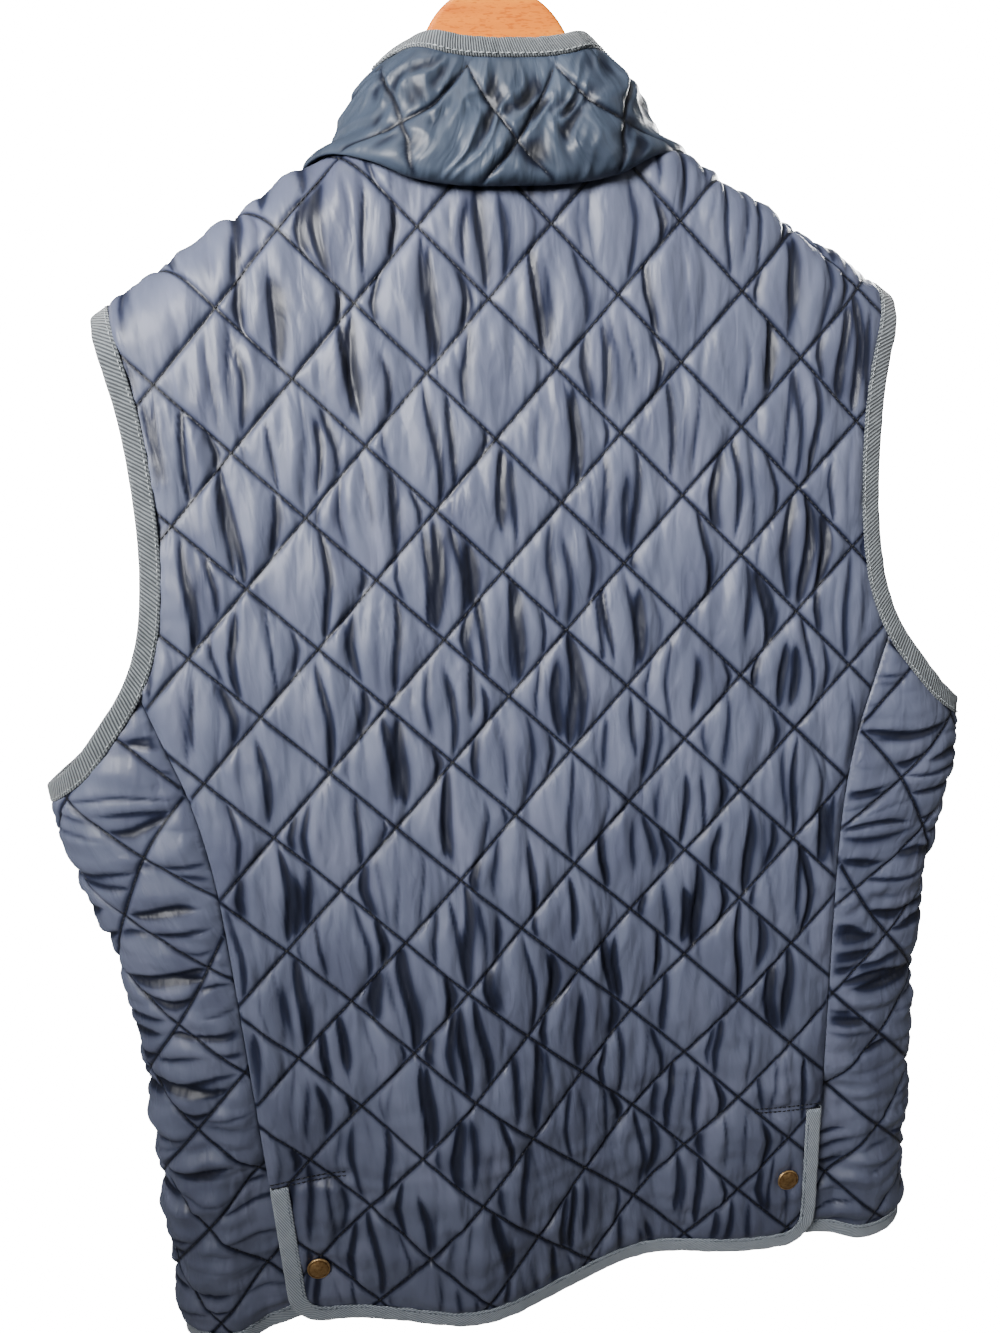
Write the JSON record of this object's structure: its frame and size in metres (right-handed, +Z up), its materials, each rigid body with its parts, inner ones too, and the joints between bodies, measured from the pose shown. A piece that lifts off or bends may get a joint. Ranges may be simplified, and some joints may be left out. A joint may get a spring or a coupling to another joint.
{
  "type": "quilted vest on a hanger",
  "caption": "Diamond-quilted stand-collar vest with corduroy-bound edges, vented back hem and press-stud front, hanging on a wooden hanger.",
  "frame": {"origin": "the seat of the hanger's hook, where the inside of its crook rests on a rail", "axes": "+Z up, +X to the wearer's left, and the vest's front faces -Y"},
  "size_m": [0.5801, 0.1165, 0.8919],
  "materials": {
    "quilt": "slate-blue satin nylon shell, quilted in 50.8 mm diamonds over a thin filling",
    "binding": "grey-blue fine corduroy, folded over the edge and top-stitched",
    "stud": "antique brass press-stud caps",
    "wood": "varnished beech",
    "steel": "bright plated wire"
  },
  "bodies": {
    "root": {"back": "quilt", "front_left": "quilt", "front_right": "quilt", "collar": "quilt", "collar_binding": "binding", "armhole_binding_left": "binding", "armhole_binding_right": "binding", "back_binding": "binding", "front_binding_left": "binding", "front_binding_right": "binding", "vent_stud_left": "stud", "vent_stud_right": "stud", "front_stud_1": "stud", "front_stud_2": "stud", "front_stud_3": "stud", "front_stud_4": "stud", "front_stud_5": "stud", "front_stud_6": "stud", "hanger": "wood", "hook": "steel"}
  },
  "joints": []
}
